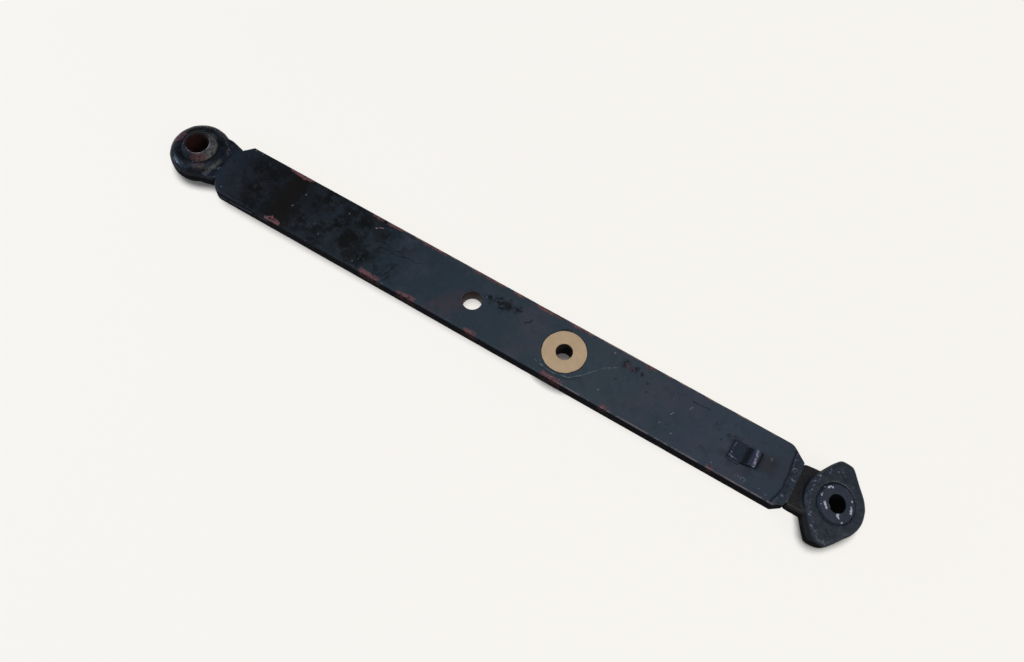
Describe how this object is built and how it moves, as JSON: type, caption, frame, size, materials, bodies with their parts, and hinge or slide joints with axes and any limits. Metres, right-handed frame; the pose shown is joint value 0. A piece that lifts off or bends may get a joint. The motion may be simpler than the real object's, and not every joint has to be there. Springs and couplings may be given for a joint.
{
  "type": "tractor lower link",
  "caption": "Flat-bar lower link of a tractor's rear linkage, with a swivelling ball eye at each end, a lift rod bush and a small keeper strap.",
  "frame": {"origin": "centre of the front ball, the one that pins to the tractor", "axes": "+X along the bar towards the rear ball, +Z square to the bar's flat faces, on the side of the keeper strap"},
  "size_m": [0.9783, 0.1044, 0.0491],
  "materials": {
    "bar_paint": "worn dark blue-grey paint over hot-rolled steel",
    "forging_paint": "worn dark blue-grey paint over forged steel",
    "weld_paint": "painted weld bead",
    "ball_steel": "bare worn steel with rust",
    "ball_paint": "chipped paint over steel",
    "bush_steel": "bare turned steel, tanned by rust"
  },
  "bodies": {
    "link": {"link_bar": "bar_paint", "front_eye": "forging_paint", "front_weld": "weld_paint", "rear_eye": "forging_paint", "rear_weld": "weld_paint", "lift_rod_bush": "bush_steel", "bush_weld": "weld_paint", "keeper_strap": "bar_paint", "keeper_weld": "weld_paint"},
    "front_ball": {"front_ball": "ball_steel"},
    "rear_ball": {"rear_ball": "ball_paint"}
  },
  "joints": [
    {"name": "front_ball_tilt", "type": "hinge", "parent": "link", "child": "front_ball", "pos_m": [0, 0, 0], "axis": [0, 1, 0], "range_deg": [-22, 22]},
    {"name": "rear_ball_tilt", "type": "hinge", "parent": "link", "child": "rear_ball", "pos_m": [0.899, -0.001, -0.0035], "axis": [0, 1, 0], "range_deg": [-25, 25]}
  ]
}
